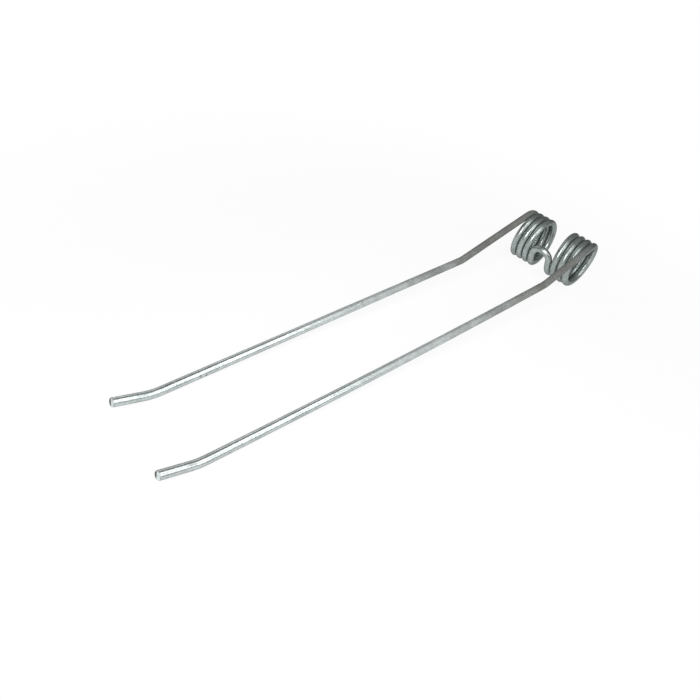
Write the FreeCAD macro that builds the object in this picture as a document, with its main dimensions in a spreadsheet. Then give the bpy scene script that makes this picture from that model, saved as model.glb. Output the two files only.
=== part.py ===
import FreeCAD, Part
import math
import os

# Double spring tine of a rotary rake, wound from one length of round spring wire.
# Seen from the tips, the left half lies at +Y and the right half at -Y.
# The legs run towards -X and +Z is up. The origin is on the common axis of both
# coils, half way between them, where the tine arm of the rake passes.

Vector = FreeCAD.Vector

doc = FreeCAD.newDocument("RotaryRakeTine")

# Driving dimensions, in millimetres and degrees.
# A slope is counted downwards from level, a lean sideways towards +Y.
DIMENSIONS = [
    ("wire_diameter", 9.0, "round spring wire"),
    ("coil_radius", 28.6, "coil axis to the centre of the wire"),
    ("turn_pitch", 9.3, "advance of the wire in one turn"),
    ("turn_count", 3.75, "turns from the front of a coil to its top"),
    ("arch_width", 26.0, "between the feet of the arch, centre to centre"),
    ("arch_foot", 2.6, "straight length of each foot of the arch"),
    ("arch_angle", 14.0, "feet of the arch below the level of the coil axis"),
    ("bend_radius", 60.0, "all bends of the legs, to the centre of the wire"),
    ("leave_angle", 12.1, "slope of the wire where it leaves the top of a coil"),
    ("neck_lean_angle", 1.8, "lean of both legs between coil and shoulder"),
    ("leg_lean_angle", 6.4, "lean of both legs beyond the shoulder"),
    ("left_neck_angle", 11.5, "slope of the left leg where it leaves its coil"),
    ("left_neck", 134.0, "straight run of the left leg up to its shoulder"),
    ("left_leg_angle", 4.0, "slope of the left leg beyond the shoulder"),
    ("left_run", 408.5, "straight run of the left leg up to its tip bend"),
    ("left_tip_angle", -13.9, "slope of the left tip, which points upwards"),
    ("right_neck_angle", 12.7, "slope of the right leg where it leaves its coil"),
    ("right_neck", 88.5, "straight run of the right leg up to its shoulder"),
    ("right_leg_angle", 5.8, "slope of the right leg beyond the shoulder"),
    ("right_bow_angle", 3.1, "turn of the gentle bow along the right leg"),
    ("right_run", 470.0, "length of the bowed run of the right leg"),
    ("right_tip_angle", -13.8, "slope of the right tip, which points upwards"),
    ("tip_length", 30.4, "straight end of each leg beyond its tip bend"),
    ("tip_chamfer", 0.8, "small chamfer round each cut end"),
]

sheet = doc.addObject("Spreadsheet::Sheet", "Dimensions")
for row, (alias, value, meaning) in enumerate(DIMENSIONS, start=1):
    sheet.set("A%d" % row, meaning)
    sheet.set("B%d" % row, str(value))
    sheet.setAlias("B%d" % row, alias)
doc.recompute()


def size(alias):
    """Value of one named cell."""
    return float(sheet.get(alias))


def heading(slope, lean):
    """Unit vector towards the tips, with its slope downwards and its lean towards +Y."""
    slope = math.radians(slope)
    lean = math.radians(lean)
    return Vector(-math.cos(slope) * math.cos(lean), math.sin(lean), -math.sin(slope) * math.cos(lean))


class BentWire:
    """Centre line of the wire, grown by straight runs and by arcs that stay tangent to them."""

    def __init__(self, start, direction):
        self.point = start
        self.direction = direction
        self.edges = []

    def run(self, length):
        """Straight run along the present direction."""
        end = self.point + self.direction * length
        self.edges.append(Part.LineSegment(self.point, end).toShape())
        self.point = end

    def bend(self, direction, radius):
        """Arc into a new direction, in the plane of the old direction and the new one."""
        inward = direction - self.direction * self.direction.dot(direction)
        inward.normalize()
        middle = (self.direction + direction).normalize()
        centre = self.point + inward * radius
        half_turn = self.direction.getAngle(direction) / 2
        end = self.point + middle * (2 * radius * math.sin(half_turn))
        outward = (self.point + end) * 0.5 - centre
        on_arc = centre + outward.normalize() * radius
        self.edges.append(Part.Arc(self.point, on_arc, end).toShape())
        self.point = end
        self.direction = direction


# Each coil is a chain of equal tangent arcs, about four to a turn. Their ends lie on the
# helix of the coil, and each arc is twisted about the wire against the one before it.
first_angle = math.radians(size("arch_angle"))
last_angle = math.radians(360 * size("turn_count") + size("leave_angle"))
arc_count = round(4 * size("turn_count"))
arc_step = (last_angle - first_angle) / arc_count
arc_advance = size("turn_pitch") * arc_step / (2 * math.pi)
arc_chord = math.hypot(arc_advance, 2 * size("coil_radius") * math.sin(arc_step / 2))
lead = math.atan2(arc_advance, 2 * size("coil_radius") * math.tan(arc_step / 2))


def coil_direction(angle, side):
    """Direction of the wire in a coil, by the angle from the front over the bottom."""
    return Vector(math.sin(angle) * math.cos(lead), side * math.sin(lead), -math.cos(angle) * math.cos(lead))


def half_tine(side, name, bow):
    """Centre line of one half, from the crown of the arch through the coil to the tip."""
    # The feet of the arch lean together by the lead of the turns, and the crown is
    # tangent to both feet.
    up = Vector(-math.sin(first_angle), 0, math.cos(first_angle))
    front = Vector(-math.cos(first_angle), 0, -math.sin(first_angle))
    foot = size("arch_foot")
    crown_radius = (size("arch_width") / 2 - foot * math.sin(lead)) / math.cos(lead)
    crown_height = foot * math.cos(lead) + crown_radius * (1 - math.sin(lead))
    crown = front * size("coil_radius") + up * crown_height

    wire = BentWire(crown, Vector(0, side, 0))
    wire.bend(coil_direction(first_angle, side), crown_radius)
    wire.run(foot)

    for k in range(arc_count):
        onward = coil_direction(first_angle + (k + 1) * arc_step, side)
        half_turn = wire.direction.getAngle(onward) / 2
        wire.bend(onward, arc_chord / (2 * math.sin(half_turn)))

    bend_radius = size("bend_radius")
    wire.bend(heading(size(name + "_neck_angle"), size("neck_lean_angle")), bend_radius)
    wire.run(size(name + "_neck"))
    wire.bend(heading(size(name + "_leg_angle"), size("leg_lean_angle")), bend_radius)
    if bow:
        bow_radius = size(name + "_run") / math.radians(bow)
        wire.bend(heading(size(name + "_leg_angle") - bow, size("leg_lean_angle")), bow_radius)
    else:
        wire.run(size(name + "_run"))
    wire.bend(heading(size(name + "_tip_angle"), size("leg_lean_angle")), bend_radius)
    wire.run(size("tip_length"))
    return wire


left = half_tine(1, "left", 0)
right = half_tine(-1, "right", size("right_bow_angle"))

centre_line = doc.addObject("Part::Feature", "centre_line")
centre_line.Shape = Part.Wire(left.edges[::-1] + right.edges)

section = doc.addObject("Part::Circle", "wire_section")
section.setExpression("Radius", "Dimensions.wire_diameter / 2")
section.Placement = FreeCAD.Placement(left.point, FreeCAD.Rotation(Vector(0, 0, 1), left.direction))

wire = doc.addObject("Part::Sweep", "bent_wire")
wire.Sections = [section]
wire.Spine = (centre_line, ["Edge%d" % (k + 1) for k in range(len(centre_line.Shape.Edges))])
wire.Solid = True
doc.recompute()

# Both ends of the wire are cut square and lightly chamfered.
tine = doc.addObject("Part::Chamfer", "spring_tine")
tine.Label = "spring_tine"
tine.Base = wire
cut_edges = [
    number for number, edge in enumerate(wire.Shape.Edges, start=1)
    if any(edge.CenterOfMass.distanceToPoint(half.point) < 0.01 for half in (left, right))
]
tine.Edges = [(number, size("tip_chamfer"), size("tip_chamfer")) for number in cut_edges]
doc.recompute()

NODES = [tine]

for item in doc.Objects:
    if "Invalid" in item.State or "Error" in item.State:
        raise RuntimeError("%s did not build: %s" % (item.Label, item.State))
for item in NODES:
    if item.Shape.isNull() or not item.Shape.isValid() or len(item.Shape.Solids) != 1:
        raise RuntimeError("%s is not one valid solid" % item.Label)

os.makedirs("parts", exist_ok=True)
for item in NODES:
    item.Shape.exportStep(os.path.join("parts", item.Label + ".step"))

box = tine.Shape.optimalBoundingBox()
swept = math.pi * size("wire_diameter") ** 2 / 4 * centre_line.Shape.Length
print("size %.1f x %.1f x %.1f mm, lowest %.2f" % (box.XLength, box.YLength, box.ZLength, box.ZMin))
print("wire %.1f mm long, volume %.0f mm3, section x length %.0f mm3"
      % (centre_line.Shape.Length, tine.Shape.Volume, swept))
print("faces %d, chamfered edges %d" % (len(tine.Shape.Faces), len(cut_edges)))
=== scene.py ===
import math

import bmesh
import bpy
from mathutils import Matrix, Vector


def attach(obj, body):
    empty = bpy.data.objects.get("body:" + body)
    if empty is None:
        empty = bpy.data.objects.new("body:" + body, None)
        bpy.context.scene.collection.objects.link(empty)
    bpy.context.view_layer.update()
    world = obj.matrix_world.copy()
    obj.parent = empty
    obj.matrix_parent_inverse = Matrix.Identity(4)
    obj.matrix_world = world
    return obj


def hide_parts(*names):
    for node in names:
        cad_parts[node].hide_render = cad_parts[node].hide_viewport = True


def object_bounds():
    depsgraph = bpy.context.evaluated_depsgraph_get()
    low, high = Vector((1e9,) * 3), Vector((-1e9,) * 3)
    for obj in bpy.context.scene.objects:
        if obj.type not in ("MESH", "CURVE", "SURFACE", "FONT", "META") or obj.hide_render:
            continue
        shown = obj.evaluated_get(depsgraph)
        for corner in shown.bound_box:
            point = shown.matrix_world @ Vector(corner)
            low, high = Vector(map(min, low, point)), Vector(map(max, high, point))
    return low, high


bl_info = {
    "name": "Rotary rake tine",
    "version": (1, 0, 0),
    "blender": (4, 5, 0),
    "location": "View3D > Sidebar > Rake tine",
    "description": "Coiled double spring tine of a rotary rake, in zinc-plated wire",
    "category": "Object",
}

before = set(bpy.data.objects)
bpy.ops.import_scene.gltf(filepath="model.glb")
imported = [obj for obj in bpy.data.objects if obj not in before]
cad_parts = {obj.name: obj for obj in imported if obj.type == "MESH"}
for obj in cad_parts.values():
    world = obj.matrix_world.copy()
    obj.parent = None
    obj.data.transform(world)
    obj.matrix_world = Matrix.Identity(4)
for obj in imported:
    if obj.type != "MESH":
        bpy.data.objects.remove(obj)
cad_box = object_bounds()


def length(name, default, description):
    """Property for a length in metres."""
    return bpy.props.FloatProperty(
        name=name, description=description, default=default,
        min=0.0, unit="LENGTH", precision=4,
    )


def angle(name, degrees, description):
    """Property for an angle, given in degrees."""
    return bpy.props.FloatProperty(
        name=name, description=description, default=math.radians(degrees), subtype="ANGLE"
    )


def share(name, default, description):
    """Property for a share from 0 to 1."""
    return bpy.props.FloatProperty(
        name=name, description=description, default=default,
        min=0.0, max=1.0, subtype="FACTOR",
    )


def colour(name, default, description):
    """Property for a linear colour."""
    return bpy.props.FloatVectorProperty(
        name=name, description=description, default=default,
        size=3, min=0.0, max=1.0, subtype="COLOR",
    )


class TineSizes(bpy.types.PropertyGroup):
    """Sizes of the bent wire. A slope is counted downwards from level, a lean towards +Y."""

    wire_diameter: length("Wire diameter", 0.009, "Round spring wire")
    coil_radius: length("Coil radius", 0.0286, "Coil axis to the centre of the wire")
    turn_pitch: length("Turn pitch", 0.0093, "Advance of the wire in one turn")
    turn_count: bpy.props.FloatProperty(
        name="Turns", description="Turns from the front of a coil to its top", default=3.75, min=1.0
    )
    arch_width: length("Arch width", 0.026, "Between the feet of the arch, centre to centre")
    arch_foot: length("Arch foot", 0.0026, "Straight length of each foot of the arch")
    arch_angle: angle("Arch angle", 14.0, "Feet of the arch below the level of the coil axis")
    bend_radius: length("Bend radius", 0.06, "All bends of the legs, to the centre of the wire")
    leave_angle: angle("Leave angle", 12.1, "Slope of the wire where it leaves the top of a coil")
    neck_lean_angle: angle("Neck lean", 1.8, "Lean of both legs between coil and shoulder")
    leg_lean_angle: angle("Leg lean", 6.4, "Lean of both legs beyond the shoulder")
    left_neck_angle: angle("Left neck slope", 11.5, "Slope of the left leg next to its coil")
    left_neck: length("Left neck", 0.134, "Straight run of the left leg up to its shoulder")
    left_leg_angle: angle("Left leg slope", 4.0, "Slope of the left leg beyond the shoulder")
    left_run: length("Left run", 0.4085, "Straight run of the left leg up to its tip bend")
    left_tip_angle: angle("Left tip slope", -13.9, "Slope of the left tip, which points upwards")
    right_neck_angle: angle("Right neck slope", 12.7, "Slope of the right leg next to its coil")
    right_neck: length("Right neck", 0.0885, "Straight run of the right leg up to its shoulder")
    right_leg_angle: angle("Right leg slope", 5.8, "Slope of the right leg beyond the shoulder")
    right_bow_angle: angle("Right bow", 3.1, "Turn of the gentle bow along the right leg")
    right_run: length("Right run", 0.47, "Length of the bowed run of the right leg")
    right_tip_angle: angle("Right tip slope", -13.8, "Slope of the right tip, which points upwards")
    tip_length: length("Tip length", 0.0304, "Straight end of each leg beyond its tip bend")
    tip_chamfer: length("Tip chamfer", 0.0008, "Small chamfer round each cut end")
    ring_points: bpy.props.IntProperty(
        name="Ring points", description="Points in each ring of the wire", default=40, min=12
    )
    bend_step: angle("Bend step", 4.0, "Largest turn between two rings of the wire")
    bend_gap: length("Bend gap", 0.02, "Largest distance between rings of a bend")
    straight_gap: length("Straight gap", 0.04, "Largest distance between rings of a straight run")


class TineFinish(bpy.types.PropertyGroup):
    """Colours and gloss of the plating and of the cut ends. The darker neck zinc holds painted
    shade and the paler leg zinc painted light.
    """

    coil_zinc: colour("Coil zinc", (0.352, 0.396, 0.388), "Satin plating of the coils and the arch")
    # Painted shade and light: the neck zinc is darker and the leg zinc paler than the plating's own
    # tone. These colours stand in for the shade on the necks and the light on the legs.
    neck_zinc_painted_shade: colour("Neck zinc", (0.200, 0.206, 0.196), "Dull, warmer plating of the necks")
    leg_zinc_painted_light: colour("Leg zinc", (0.558, 0.610, 0.613), "Pale plating of the legs and tips")
    edge_zinc: colour("Edge zinc", (0.25, 0.25, 0.25), "Tint of light that glances off the wire")
    bare_steel: colour("Bare steel", (0.065, 0.067, 0.066), "Broken steel, specks and worn rims")
    coil_roughness: share("Coil roughness", 0.33, "Roughness of the plating on the coils")
    neck_roughness: share("Neck roughness", 0.60, "Roughness of the plating on the necks")
    leg_roughness: share("Leg roughness", 0.30, "Roughness of the plating on the legs")
    coil_bloom: share("Coil bloom", 0.20, "Share of matt zinc bloom over the metal of the coils")
    neck_bloom: share("Neck bloom", 0.70, "Share of matt zinc bloom over the metal of the necks")
    leg_bloom: share("Leg bloom", 0.05, "Share of matt zinc bloom over the metal of the legs")
    cut_roughness: share("Cut roughness", 0.45, "Roughness of the cut ends")


class TineStage(bpy.types.PropertyGroup):
    """Floor, surroundings and lamps."""

    floor: colour("Floor", (0.86, 0.86, 0.86), "Pale floor")
    floor_radius: length("Floor radius", 9.0, "Round floor under the tine")
    room: colour("Room", (0.133, 0.131, 0.116), "Even light of the room")
    lamp_power: bpy.props.FloatProperty(
        name="Lamp power", description="All lamps together", default=21.5, unit="POWER"
    )


class WirePath:
    """Centre line of one half of the tine, as straight runs and bends that follow each other."""

    def __init__(self, start, direction):
        self.point = start
        self.direction = direction.normalized()
        self.steps = []
        self.length = 0.0

    def run(self, distance):
        """Straight run along the present direction."""
        self.steps.append((self.direction * distance,))
        self.point = self.point + self.direction * distance
        self.length += distance

    def bend(self, direction, radius):
        """Bend into a new direction at a given radius."""
        direction = direction.normalized()
        inward = (direction - self.direction * self.direction.dot(direction)).normalized()
        centre = self.point + inward * radius
        axis = self.direction.cross(direction).normalized()
        turn = self.direction.angle(direction)
        self.steps.append((centre, axis, turn, radius))
        self.point = centre + Matrix.Rotation(turn, 3, axis) @ (self.point - centre)
        self.direction = direction
        self.length += turn * radius


def heading(slope, lean):
    """Unit vector towards the tips."""
    return Vector((
        -math.cos(slope) * math.cos(lean),
        math.sin(lean),
        -math.sin(slope) * math.cos(lean),
    ))


# Tangent arcs that make up one turn of a coil.
ARCS_IN_TURN = 4


def half_tine(sizes, side, name, bow):
    """Path of one half, from the crown of the arch through the coil to the tip."""
    first = sizes.arch_angle
    last = 2 * math.pi * sizes.turn_count + sizes.leave_angle
    count = round(ARCS_IN_TURN * sizes.turn_count)
    step = (last - first) / count
    advance = sizes.turn_pitch * step / (2 * math.pi)
    chord = math.hypot(advance, 2 * sizes.coil_radius * math.sin(step / 2))
    lead = math.atan2(advance, 2 * sizes.coil_radius * math.tan(step / 2))

    def coil_direction(turned):
        """Unit vector along the helix, turned from the front over the bottom."""
        return Vector((
            math.sin(turned) * math.cos(lead),
            side * math.sin(lead),
            -math.cos(turned) * math.cos(lead),
        ))

    up = Vector((-math.sin(first), 0, math.cos(first)))
    front = Vector((-math.cos(first), 0, -math.sin(first)))
    crown_radius = (sizes.arch_width / 2 - sizes.arch_foot * math.sin(lead)) / math.cos(lead)
    crown_height = sizes.arch_foot * math.cos(lead) + crown_radius * (1 - math.sin(lead))
    path = WirePath(front * sizes.coil_radius + up * crown_height, Vector((0, side, 0)))
    path.bend(coil_direction(first), crown_radius)
    path.run(sizes.arch_foot)

    for k in range(count):
        onward = coil_direction(first + (k + 1) * step)
        path.bend(onward, chord / (2 * math.sin(path.direction.angle(onward) / 2)))

    neck_slope = getattr(sizes, name + "_neck_angle")
    leg_slope = getattr(sizes, name + "_leg_angle")
    leg_run = getattr(sizes, name + "_run")
    tip_slope = getattr(sizes, name + "_tip_angle")
    path.bend(heading(neck_slope, sizes.neck_lean_angle), sizes.bend_radius)
    path.run(getattr(sizes, name + "_neck"))
    path.bend(heading(leg_slope, sizes.leg_lean_angle), sizes.bend_radius)
    if bow:
        path.bend(heading(leg_slope - bow, sizes.leg_lean_angle), leg_run / bow)
    else:
        path.run(leg_run)
    path.bend(heading(tip_slope, sizes.leg_lean_angle), sizes.bend_radius)
    path.run(sizes.tip_length)
    return path


class WireMesh:
    """Round wire grown ring by ring.

    Each point remembers its place on the wire before it was bent: two measures across the wire,
    and the third along it from the crown of the arch, in metres.
    """

    def __init__(self, sizes, start, direction, along):
        self.sizes = sizes
        self.mesh = bmesh.new()
        self.unbent = self.mesh.verts.layers.float_vector.new("unbent")
        made = bmesh.ops.create_circle(
            self.mesh, cap_ends=False, segments=sizes.ring_points, radius=sizes.wire_diameter / 2
        )
        for vert in made["verts"]:
            vert[self.unbent] = vert.co + Vector((0, 0, along))
        self.ring = list(self.mesh.edges)
        self.ends = [self.ring]
        self.along = along
        turn = direction.to_track_quat("Z", "Y").to_matrix().to_4x4()
        bmesh.ops.transform(self.mesh, matrix=Matrix.Translation(start) @ turn, verts=made["verts"])

    def mark(self, verts, distance):
        """Writes how far along the wire new points lie. They know their place round it already."""
        for vert in verts:
            vert[self.unbent].z = self.along + distance(vert)

    def run(self, vector):
        """Straight run, with a ring every few centimetres."""
        parts = math.ceil(vector.length / self.sizes.straight_gap)
        part = vector.length / parts
        for _ in range(parts):
            made = bmesh.ops.extrude_edge_only(self.mesh, edges=self.ring)["geom"]
            verts = [item for item in made if isinstance(item, bmesh.types.BMVert)]
            bmesh.ops.translate(self.mesh, vec=vector / parts, verts=verts)
            fresh = set(verts)
            self.ring = [
                item for item in made
                if isinstance(item, bmesh.types.BMEdge) and set(item.verts) <= fresh
            ]
            self.mark(verts, lambda vert: part)
            self.along += part

    def bend(self, centre, axis, turn, radius):
        """Bend about an axis, with its rings close together for its turn and its length."""
        distance = abs(turn) * radius
        parts = max(
            math.ceil(abs(turn) / self.sizes.bend_step),
            math.ceil(distance / self.sizes.bend_gap),
        )
        corners = {vert for edge in self.ring for vert in edge.verts}
        middle = sum((vert.co for vert in corners), Vector()) / len(corners)
        outward = (middle - centre).normalized()
        ahead = axis.cross(outward) * math.copysign(1.0, turn)
        before = set(self.mesh.verts)
        made = bmesh.ops.spin(
            self.mesh, geom=self.ring, cent=centre, axis=axis, angle=turn, steps=parts,
            use_duplicate=False,
        )["geom_last"]
        self.ring = [item for item in made if isinstance(item, bmesh.types.BMEdge)]

        def round_bend(vert):
            """Distance round the bend to a point."""
            arm = vert.co - centre
            return radius * math.atan2(arm.dot(ahead), arm.dot(outward))

        self.mark([vert for vert in self.mesh.verts if vert not in before], round_bend)
        self.along += distance

    def follow(self, path):
        """Grows along a path from its start."""
        for step in path.steps:
            if len(step) == 1:
                self.run(*step)
            else:
                self.bend(*step)

    def follow_back(self, path):
        """Grows along a path from its end back to its start."""
        for step in reversed(path.steps):
            if len(step) == 1:
                self.run(-step[0])
            else:
                centre, axis, turn, radius = step
                self.bend(centre, axis, -turn, radius)

    def close(self):
        """Closes both cut ends and rounds their edges. The cut faces take the second material."""
        self.ends.append(self.ring)
        for edges in self.ends:
            bmesh.ops.edgeloop_fill(self.mesh, edges=edges)
            rims = set(bmesh.ops.bevel(
                self.mesh, geom=edges, offset=self.sizes.tip_chamfer, offset_type="OFFSET",
                segments=3, profile=0.5, affect="EDGES", material=-1,
            )["faces"])
            for vert in {vert for face in rims for vert in face.verts}:
                for face in vert.link_faces:
                    if face in rims or len(face.verts) == self.sizes.ring_points:
                        face.material_index = 1
        bmesh.ops.recalc_face_normals(self.mesh, faces=self.mesh.faces)


def coiled_wire(sizes):
    """Mesh of the whole wire, from the left tip over both coils to the right tip."""
    left = half_tine(sizes, 1, "left", 0.0)
    right = half_tine(sizes, -1, "right", sizes.right_bow_angle)
    wire = WireMesh(sizes, left.point, -left.direction, -left.length)
    wire.follow_back(left)
    wire.follow(right)
    wire.close()
    return wire.mesh, left.length, right.length


class NodeMaker:
    """Adds nodes to one node tree, and links or sets their inputs."""

    def __init__(self, tree):
        self.tree = tree

    def add(self, kind, inputs=None, **settings):
        """Adds a node. An input takes a socket to link or a plain value."""
        node = self.tree.nodes.new(kind if kind.startswith("Node") else "ShaderNode" + kind)
        for name, value in settings.items():
            setattr(node, name, value)
        for name, value in (inputs or {}).items():
            if isinstance(value, bpy.types.NodeSocket):
                self.tree.links.new(value, node.inputs[name])
            else:
                node.inputs[name].default_value = value
        return node

    def math(self, operation, first, second=0.0):
        """Value of one sum."""
        return self.add("Math", {0: first, 1: second}, operation=operation).outputs[0]

    def length(self, vector):
        """Length of a vector."""
        return self.add("VectorMath", {0: vector}, operation="LENGTH").outputs["Value"]

    def spread(self, value, low, high, to_low=0.0, to_high=1.0):
        """Value between two limits, spread smoothly over two others."""
        return self.add("MapRange", {
            "Value": value, "From Min": low, "From Max": high, "To Min": to_low, "To Max": to_high,
        }, interpolation_type="SMOOTHSTEP").outputs["Result"]

    def vary(self, mask, limits):
        """Value that follows a mask from one limit to the other."""
        return self.spread(mask, 0.0, 1.0, *limits)

    def blend(self, factor, first, second):
        """Value mixed from two values."""
        return self.add("Mix", {0: factor, 2: first, 3: second}, data_type="FLOAT").outputs[0]

    def tint(self, factor, first, second, blend="MIX"):
        """Colour mixed from two colours."""
        mixed = self.add(
            "Mix", {0: factor, 6: first, 7: second}, data_type="RGBA", blend_type=blend
        )
        return mixed.outputs[2]


def by_zone(maker, neck, leg, finish, ending):
    """One value of the finish, blended from coil to neck to leg."""
    value = maker.blend(neck, getattr(finish, "coil_" + ending), getattr(finish, "neck_" + ending))
    return maker.blend(leg, value, getattr(finish, "leg_" + ending))


def effect_group(name, inputs, output):
    """Empty node group with named inputs and one named output."""
    tree = bpy.data.node_groups.new(name, "ShaderNodeTree")
    for label, kind, value in inputs:
        socket = tree.interface.new_socket(name=label, in_out="INPUT", socket_type=kind)
        socket.default_value = value
    tree.interface.new_socket(name=output, in_out="OUTPUT", socket_type="NodeSocketFloat")
    maker = NodeMaker(tree)
    return maker, maker.add("NodeGroupInput").outputs


ORIGIN = (0.0, 0.0, 0.0)


def blotch_group():
    """Soft cloudy patches, from 0 to 1."""
    maker, given = effect_group("blotches", (
        ("Vector", "NodeSocketVector", ORIGIN),
        ("Scale", "NodeSocketFloat", 100.0),
        ("Detail", "NodeSocketFloat", 3.0),
        ("Softness", "NodeSocketFloat", 0.2),
    ), "Mask")
    cloud = maker.add("TexNoise", {
        "Vector": given["Vector"], "Scale": given["Scale"], "Detail": given["Detail"],
        "Roughness": 0.55,
    })
    low = maker.math("SUBTRACT", 0.5, given["Softness"])
    high = maker.math("ADD", 0.5, given["Softness"])
    maker.add("NodeGroupOutput", {"Mask": maker.spread(cloud.outputs["Fac"], low, high)})
    return maker.tree


def drawn_line_group():
    """Fine lines that a drawing die leaves along a wire, from 0 to 1."""
    maker, given = effect_group("drawn_lines", (
        ("Vector", "NodeSocketVector", ORIGIN),
        ("Scale", "NodeSocketFloat", 1500.0),
        ("Length", "NodeSocketFloat", 60.0),
    ), "Height")
    shares = maker.add("CombineXYZ", {
        "X": 1.0, "Y": 1.0, "Z": maker.math("DIVIDE", 1.0, given["Length"]),
    }).outputs[0]
    drawn = maker.add("VectorMath", {0: given["Vector"], 1: shares}, operation="MULTIPLY")
    lines = maker.add("TexNoise", {
        "Vector": drawn.outputs[0], "Scale": given["Scale"], "Detail": 4.0, "Roughness": 0.6,
    })
    maker.add("NodeGroupOutput", {"Height": lines.outputs["Fac"]})
    return maker.tree


def speck_group():
    """Sparse small specks, from 0 to 1."""
    maker, given = effect_group("specks", (
        ("Vector", "NodeSocketVector", ORIGIN),
        ("Scale", "NodeSocketFloat", 300.0),
        ("Share", "NodeSocketFloat", 0.3),
    ), "Mask")
    cells = maker.add("TexVoronoi", {"Vector": given["Vector"], "Scale": given["Scale"]})
    zone = maker.add("TexNoise", {"Vector": given["Vector"], "Scale": 45.0, "Detail": 2.0})
    reach = maker.math("MULTIPLY", given["Share"], maker.spread(zone.outputs["Fac"], 0.45, 0.7))
    core = maker.math("MULTIPLY", reach, 0.4)
    maker.add("NodeGroupOutput", {"Mask": maker.spread(cells.outputs["Distance"], reach, core)})
    return maker.tree


def mark_group():
    """One mark with a ragged edge at a given place, from 0 to 1."""
    maker, given = effect_group("ragged_mark", (
        ("Vector", "NodeSocketVector", ORIGIN),
        ("Centre", "NodeSocketVector", ORIGIN),
        ("Radius", "NodeSocketFloat", 0.003),
    ), "Mask")
    away = maker.add(
        "VectorMath", {0: given["Vector"], 1: given["Centre"]}, operation="DISTANCE"
    ).outputs["Value"]
    ragged = maker.add("TexNoise", {"Vector": given["Vector"], "Scale": 700.0, "Detail": 3.0})
    near = maker.math("SUBTRACT", 1.0, maker.math("DIVIDE", away, given["Radius"]))
    torn = maker.math("MULTIPLY", near, maker.spread(ragged.outputs["Fac"], 0.35, 0.65, 0.3, 2.0))
    maker.add("NodeGroupOutput", {"Mask": maker.spread(torn, 0.2, 0.6)})
    return maker.tree


def rim_wear_group():
    """Uneven wear next to a rim, from the distance to it, from 0 to 1."""
    maker, given = effect_group("rim_wear", (
        ("Vector", "NodeSocketVector", ORIGIN),
        ("Distance", "NodeSocketFloat", 0.0),
        ("Width", "NodeSocketFloat", 0.001),
    ), "Mask")
    uneven = maker.add("TexNoise", {"Vector": given["Vector"], "Scale": 900.0, "Detail": 3.0})
    swing = maker.spread(uneven.outputs["Fac"], 0.3, 0.7, 0.4, 1.6)
    width = maker.math("MULTIPLY", given["Width"], swing)
    maker.add("NodeGroupOutput", {"Mask": maker.spread(given["Distance"], width, 0.0)})
    return maker.tree


EFFECTS = {
    "blotches": blotch_group,
    "drawn_lines": drawn_line_group,
    "specks": speck_group,
    "ragged_mark": mark_group,
    "rim_wear": rim_wear_group,
}


def effect(maker, name, inputs):
    """Places an effect in a material. Its group is built the first time it is used."""
    tree = bpy.data.node_groups.get(name) or EFFECTS[name]()
    return maker.add("Group", inputs, node_tree=tree).outputs[0]


def metal_material(name):
    """Empty metal, and its maker."""
    material = bpy.data.materials.new(name)
    material.use_nodes = True
    material.node_tree.nodes["Principled BSDF"].inputs["Metallic"].default_value = 1.0
    return material, NodeMaker(material.node_tree)


def finish_metal(material, maker, surface, roughness, metallic, height, depth):
    """Feeds the shader of a metal, with a relief of the given depth in metres."""
    relief = maker.add("Bump", {"Height": height, "Strength": 1.0, "Distance": depth})
    shader = material.node_tree.nodes["Principled BSDF"]
    for name, socket in (
        ("Base Color", surface),
        ("Roughness", roughness),
        ("Metallic", metallic),
        ("Normal", relief.outputs["Normal"]),
    ):
        maker.tree.links.new(socket, shader.inputs[name])
    return shader


# Where each zone begins and is complete, as a share of the left half of the wire. The shine of
# the legs comes a little later than their colour, and the right neck later than the left one.
# The zone colours paint shade on the necks and light on the legs, over the plating's own tone.
NECK_ZONE = (0.50, 0.56)
LEG_ZONE = (0.61, 0.83)
SHINE_ZONE = (0.65, 0.92)
RIGHT_DELAY = 0.03

# How far the limits of the zones wander with the broad patches, in metres.
ZONE_WANDER = 0.03

# Darkest and lightest share of the zinc in each of its patterns.
BROAD_SHADES = (0.91, 1.07)
SMALL_SHADES = (0.89, 1.07)
LINE_SHADES = (0.93, 1.06)

# How much of the zinc is gone at a speck, at a rim and at a scuff, and how pale a rubbed spot is.
SPECK_WEAR = 0.3
RIM_WEAR = 0.8
SCUFF_WEAR = 0.6
RUB_SHARE = 0.6

# Roughness gained or lost in the small patches, and gained where the zinc is worn.
PATCH_ROUGHNESS = (0.03, -0.03)
WORN_ROUGHNESS = 0.15

# Depth of the relief of the zinc in metres, and the share of the drawn lines in it.
ZINC_RELIEF = 0.000003
LINE_RELIEF = 0.2

# Marks on the plating: the place on the unbent wire, and the radius.
SCUFFS = (
    ((-0.00436, 0.00105, -1.2100), 0.0022),
    ((-0.00447, -0.00035, -1.2036), 0.0020),
    ((-0.00020, 0.00440, -1.2433), 0.0024),
)
RUBBED_SPOT = ((-0.00130, -0.00430, 0.6430), 0.0060)


def mark(maker, unbent, spot):
    """Ragged mark at a spot, which has a centre and a radius."""
    centre, radius = spot
    return effect(maker, "ragged_mark", {"Vector": unbent, "Centre": centre, "Radius": radius})


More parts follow.
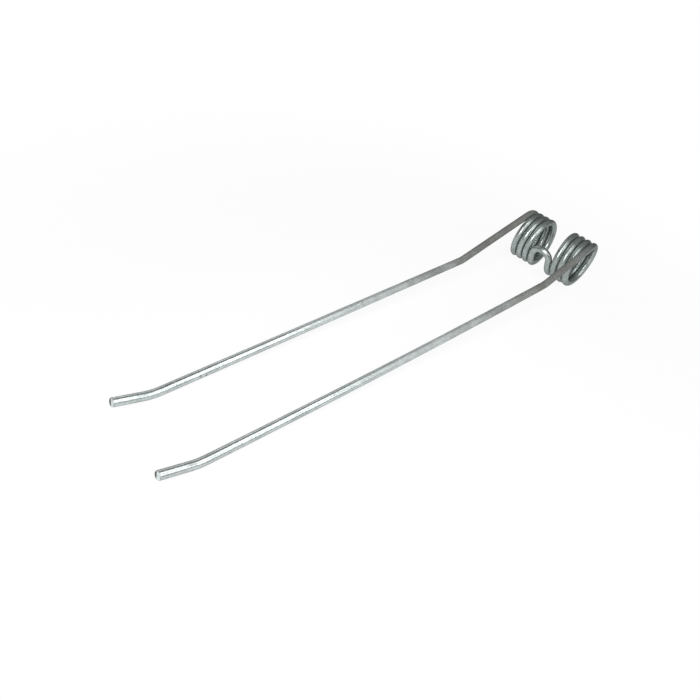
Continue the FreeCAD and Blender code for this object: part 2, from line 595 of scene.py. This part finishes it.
def wire_material(finish, left_length, right_length):
    """Zinc-plated spring steel, whose patterns follow the wire through its bends."""
    material, maker = metal_material("zinc_plated_spring_steel")
    unbent = maker.add("Attribute", attribute_name="unbent").outputs["Vector"]
    place = maker.add("SeparateXYZ", {0: unbent}).outputs["Z"]
    to_left_end = maker.math("ADD", place, left_length)
    to_right_end = maker.math("SUBTRACT", right_length, place)
    to_end = maker.math("MINIMUM", to_left_end, to_right_end)

    broad = effect(maker, "blotches", {"Vector": unbent, "Scale": 32.0, "Softness": 0.22})
    small = effect(maker, "blotches", {
        "Vector": unbent, "Scale": 210.0, "Detail": 5.0, "Softness": 0.26,
    })
    lines = effect(maker, "drawn_lines", {"Vector": unbent, "Scale": 900.0, "Length": 40.0})
    specks = effect(maker, "specks", {"Vector": unbent, "Scale": 420.0, "Share": 0.42})
    wear = effect(maker, "rim_wear", {"Vector": unbent, "Distance": to_end, "Width": 0.0012})

    wander = maker.math("MULTIPLY", broad, ZONE_WANDER)
    from_crown = maker.math("ADD", maker.math("ABSOLUTE", place), wander)
    zone = maker.math("DIVIDE", from_crown, left_length)
    delay = maker.math("MULTIPLY", maker.math("GREATER_THAN", place, 0.0), RIGHT_DELAY)
    neck = maker.spread(maker.math("SUBTRACT", zone, delay), *NECK_ZONE)
    leg = maker.spread(zone, *LEG_ZONE)
    shine = maker.spread(zone, *SHINE_ZONE)

    # Painted light: the zone colours darken the necks as painted shade and pale the legs as painted
    # light.
    leg_zinc_painted_light = (*finish.leg_zinc_painted_light, 1.0)
    zinc = maker.tint(neck, (*finish.coil_zinc, 1.0), (*finish.neck_zinc_painted_shade, 1.0))
    zinc = maker.tint(leg, zinc, leg_zinc_painted_light)
    broad_shade = maker.vary(broad, BROAD_SHADES)
    clouds = maker.math("MULTIPLY", broad_shade, maker.vary(small, SMALL_SHADES))
    shade = maker.math("MULTIPLY", clouds, maker.spread(lines, 0.3, 0.7, *LINE_SHADES))
    zinc = maker.tint(1.0, zinc, shade, "MULTIPLY")
    rubbed = maker.math("MULTIPLY", mark(maker, unbent, RUBBED_SPOT), RUB_SHARE)
    zinc = maker.tint(rubbed, zinc, leg_zinc_painted_light)

    at_specks = maker.math("MULTIPLY", specks, SPECK_WEAR)
    at_rims = maker.math("MULTIPLY", wear, RIM_WEAR)
    worn = maker.math("MAXIMUM", at_specks, at_rims)
    for spot in SCUFFS:
        scuffed = maker.math("MULTIPLY", mark(maker, unbent, spot), SCUFF_WEAR)
        worn = maker.math("MAXIMUM", worn, scuffed)
    surface = maker.tint(worn, zinc, (*finish.bare_steel, 1.0))

    satin = by_zone(maker, neck, shine, finish, "roughness")
    patchy = maker.math("ADD", satin, maker.vary(small, PATCH_ROUGHNESS))
    rough = maker.math("ADD", patchy, maker.math("MULTIPLY", worn, WORN_ROUGHNESS))
    metal = maker.math("SUBTRACT", 1.0, by_zone(maker, neck, shine, finish, "bloom"))
    relief = maker.math("ADD", small, maker.math("MULTIPLY", lines, LINE_RELIEF))
    height = maker.math("SUBTRACT", relief, worn)
    shader = finish_metal(material, maker, surface, rough, metal, height, ZINC_RELIEF)
    shader.inputs["Specular Tint"].default_value = (*finish.edge_zinc, 1.0)
    return material


# Share of the way from the middle of a cut end to its far side where the steel begins to be
# broken and where it is wholly broken, how far that line wanders, and how far it leans. The dark
# colour of the broken side is partly a painted shade of the rolled edge.
BROKEN_ZONE = (0.15, 0.30)
BROKEN_WANDER = (-0.12, 0.12)
BROKEN_LEAN = -0.5

# Finish of the cut steel: its shades, roughness gained where it broke, metal, rims and relief.
CUT_CLOUD_SHADES = (0.85, 1.15)
CUT_LINE_SHADES = (0.9, 1.1)
BROKEN_ROUGHNESS = 0.2
CUT_METAL = (0.5, 0.7)
CUT_RIM_WEAR = 0.5
CUT_RELIEF = 0.00002
BROKEN_DEPTH = 4.0


def cut_material(finish, sizes):
    """Sheared cut ends: a burnished face whose far side broke off dark, the dark partly a painted
    shade of the rolled edge.
    """
    material, maker = metal_material("cut_steel_end")
    radius = sizes.wire_diameter / 2
    unbent = maker.add("Attribute", attribute_name="unbent").outputs["Vector"]
    parts = maker.add("SeparateXYZ", {0: unbent}).outputs
    cloud = effect(maker, "blotches", {"Vector": unbent, "Scale": 520.0, "Detail": 4.0})
    sheared = maker.add("Mapping", {
        "Vector": unbent, "Rotation": (0.0, math.radians(90.0), 0.4),
    }).outputs[0]
    lines = effect(maker, "drawn_lines", {"Vector": sheared, "Scale": 1800.0, "Length": 8.0})
    flat = maker.add("VectorMath", {0: unbent, 1: (1.0, 1.0, 0.0)}, operation="MULTIPLY")
    to_rim = maker.math("SUBTRACT", radius, maker.length(flat.outputs[0]))
    wear = effect(maker, "rim_wear", {"Vector": unbent, "Distance": to_rim, "Width": 0.0006})

    far_side = maker.math("SIGN", maker.math("MULTIPLY", parts["Z"], -1.0))
    sideways = maker.math("MULTIPLY", parts["X"], far_side)
    downwards = maker.math("MULTIPLY", parts["Y"], BROKEN_LEAN)
    across = maker.math("DIVIDE", maker.math("ADD", sideways, downwards), radius)
    ragged = maker.math("ADD", across, maker.vary(cloud, BROKEN_WANDER))
    broken = maker.spread(ragged, *BROKEN_ZONE)
    # Painted shade: the broken side is darkened partly to stand in for the shade of the rolled
    # edge, together with the worn rim.
    dark = maker.math("MAXIMUM", broken, maker.math("MULTIPLY", wear, CUT_RIM_WEAR))

    lined = maker.spread(lines, 0.3, 0.7, *CUT_LINE_SHADES)
    shade = maker.math("MULTIPLY", maker.vary(cloud, CUT_CLOUD_SHADES), lined)
    # The face takes the leg zinc, which holds painted light.
    steel = maker.tint(dark, (*finish.leg_zinc_painted_light, 1.0), (*finish.bare_steel, 1.0))
    surface = maker.tint(1.0, steel, shade, "MULTIPLY")
    more = maker.math("MULTIPLY", broken, BROKEN_ROUGHNESS)
    rough = maker.math("ADD", finish.cut_roughness, more)
    metal = maker.vary(cloud, CUT_METAL)
    height = maker.math("SUBTRACT", lines, maker.math("MULTIPLY", broken, BROKEN_DEPTH))
    finish_metal(material, maker, surface, rough, metal, height, CUT_RELIEF)
    return material


class TINE_OT_coiled_wire(bpy.types.Operator):
    """Winds the tine from one length of wire and plates it"""

    bl_idname = "tine.coiled_wire"
    bl_label = "Coiled wire"

    def execute(self, context):
        scene = context.scene
        wire, left_length, right_length = coiled_wire(scene.tine_sizes)
        data = bpy.data.meshes.new("coiled_wire")
        wire.to_mesh(data)
        wire.free()
        data.shade_smooth()
        piece = bpy.data.objects.new("coiled_wire", data)
        scene.collection.objects.link(piece)
        data.materials.append(wire_material(scene.tine_finish, left_length, right_length))
        data.materials.append(cut_material(scene.tine_finish, scene.tine_sizes))
        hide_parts("spring_tine")
        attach(piece, "root")
        return {"FINISHED"}


# Middle of the tine, round which the floor and the lamps are placed.
MIDDLE = Vector((-0.3, 0.0, 0.0))

# Name of each lamp, its share of the power, its side and its distance from the middle in metres,
# its height angle, and its angle from the front of the tips towards the right, in degrees.
LAMPS = (
    ("front_lamp", 0.60, 0.6, 1.15, 33.0, 14.0),
    ("high_lamp", 0.13, 0.6, 1.15, 72.0, 80.0),
    ("right_lamp", 0.152, 0.6, 1.15, 33.0, 98.0),
    ("left_lamp", 0.06, 0.6, 1.15, 28.0, 250.0),
    ("overhead_lamp", 0.021, 0.26, 0.43, 75.0, 100.0),
)


def place_lamps(stage):
    """Soft square lamps that shine at the middle of the tine."""
    for name, part, size, distance, height, turn in LAMPS:
        data = bpy.data.lights.new(name, "AREA")
        data.shape = "SQUARE"
        data.size = size
        data.energy = stage.lamp_power * part
        lamp = bpy.data.objects.new(name, data)
        height, turn = math.radians(height), math.radians(turn)
        towards = Vector((
            math.cos(height) * math.cos(turn),
            math.cos(height) * math.sin(turn),
            -math.sin(height),
        ))
        lamp.location = MIDDLE - towards * distance
        lamp.rotation_euler = towards.to_track_quat("-Z", "Y").to_euler()
        lamp.visible_camera = False
        bpy.context.scene.collection.objects.link(lamp)


# The floor glows a little less near the tine, out to the first of two distances from its middle,
# so that the shadow shows. From the second distance on it is plain white.
GLOW_REACH = (0.15, 0.75)
GLOW_SHARES = (0.9, 1.0)


def floor_material(stage):
    """Pale floor. It shows as white by itself and still takes a soft shadow."""
    material = bpy.data.materials.new("pale_floor")
    material.use_nodes = True
    material.node_tree.nodes.clear()
    maker = NodeMaker(material.node_tree)
    rays = maker.add("LightPath").outputs
    seen = maker.math("MAXIMUM", rays["Is Camera Ray"], rays["Is Glossy Ray"])
    clear = maker.math("MAXIMUM", seen, rays["Is Transmission Ray"])
    centred = maker.add("Mapping", {
        "Vector": maker.add("TexCoord").outputs["Object"],
        "Location": -MIDDLE, "Scale": (1.0, 1.0, 0.0),
    }).outputs[0]
    glowing = maker.spread(maker.length(centred), *GLOW_REACH, *GLOW_SHARES)
    paint = maker.add("BsdfDiffuse", {"Color": (*stage.floor, 1.0)})
    glow = maker.add("Emission", {"Color": (1.0, 1.0, 1.0, 1.0), "Strength": 1.0})
    mix = maker.add("MixShader", {
        0: maker.math("MULTIPLY", clear, glowing), 1: paint.outputs[0], 2: glow.outputs[0],
    })
    maker.add("OutputMaterial", {"Surface": mix.outputs[0]})
    return material


class TINE_OT_stage(bpy.types.Operator):
    """Lays the floor and sets the light of the room and the lamps"""

    bl_idname = "tine.stage"
    bl_label = "Stage"

    def execute(self, context):
        scene = context.scene
        stage = scene.tine_stage
        lowest = cad_box[0][2]

        under = Matrix.Translation(MIDDLE + Vector((0.0, 0.0, lowest)))
        mesh = bmesh.new()
        bmesh.ops.create_circle(
            mesh, cap_ends=True, segments=96, radius=stage.floor_radius, matrix=under
        )
        data = bpy.data.meshes.new("floor")
        mesh.to_mesh(data)
        mesh.free()
        floor = bpy.data.objects.new("floor", data)
        scene.collection.objects.link(floor)
        data.materials.append(floor_material(stage))

        world = bpy.data.worlds.new("room")
        world.use_nodes = True
        background = world.node_tree.nodes["Background"].inputs
        background["Color"].default_value = (*stage.room, 1.0)
        background["Strength"].default_value = 1.0
        scene.world = world

        place_lamps(stage)
        return {"FINISHED"}


# Place of the camera in metres, its turns in degrees, and its lens and sensor in millimetres.
CAMERA_PLACE = (-0.803845, -0.275402, 0.426416)
CAMERA_TURNS = (49.170, -10.299, -46.242)
CAMERA_LENS = 33.943
CAMERA_SENSOR = 36.0
CAMERA_NEAREST = 0.01


class TINE_OT_camera(bpy.types.Operator):
    """Sets the camera in front of the tips, above the right leg"""

    bl_idname = "tine.camera"
    bl_label = "Camera"

    def execute(self, context):
        scene = context.scene
        data = bpy.data.cameras.new("camera")
        data.sensor_width = CAMERA_SENSOR
        data.lens = CAMERA_LENS
        data.clip_start = CAMERA_NEAREST
        camera = bpy.data.objects.new("camera", data)
        camera.location = CAMERA_PLACE
        camera.rotation_euler = [math.radians(turn) for turn in CAMERA_TURNS]
        scene.collection.objects.link(camera)
        scene.camera = camera
        scene.view_settings.view_transform = "Standard"
        return {"FINISHED"}


class TINE_PT_sidebar(bpy.types.Panel):
    """Sizes, finish and steps of the tine"""

    bl_idname = "TINE_PT_sidebar"
    bl_label = "Rotary rake tine"
    bl_space_type = "VIEW_3D"
    bl_region_type = "UI"
    bl_category = "Rake tine"

    def draw(self, context):
        layout = self.layout
        scene = context.scene
        for group in (scene.tine_sizes, scene.tine_finish, scene.tine_stage):
            box = layout.box()
            for name in group.bl_rna.properties.keys():
                if name not in {"rna_type", "name"}:
                    box.prop(group, name)
        for operator in (TINE_OT_camera, TINE_OT_coiled_wire, TINE_OT_stage):
            layout.operator(operator.bl_idname)


CLASSES = (
    TineSizes, TineFinish, TineStage,
    TINE_OT_camera, TINE_OT_coiled_wire, TINE_OT_stage, TINE_PT_sidebar,
)


def register():
    for item in CLASSES:
        bpy.utils.register_class(item)
    bpy.types.Scene.tine_sizes = bpy.props.PointerProperty(type=TineSizes)
    bpy.types.Scene.tine_finish = bpy.props.PointerProperty(type=TineFinish)
    bpy.types.Scene.tine_stage = bpy.props.PointerProperty(type=TineStage)


def unregister():
    del bpy.types.Scene.tine_sizes
    del bpy.types.Scene.tine_finish
    del bpy.types.Scene.tine_stage
    for item in reversed(CLASSES):
        bpy.utils.unregister_class(item)


def main():
    register()
    bpy.ops.tine.camera()
    bpy.ops.tine.coiled_wire()
    bpy.ops.tine.stage()


if __name__ == "__main__":
    main()
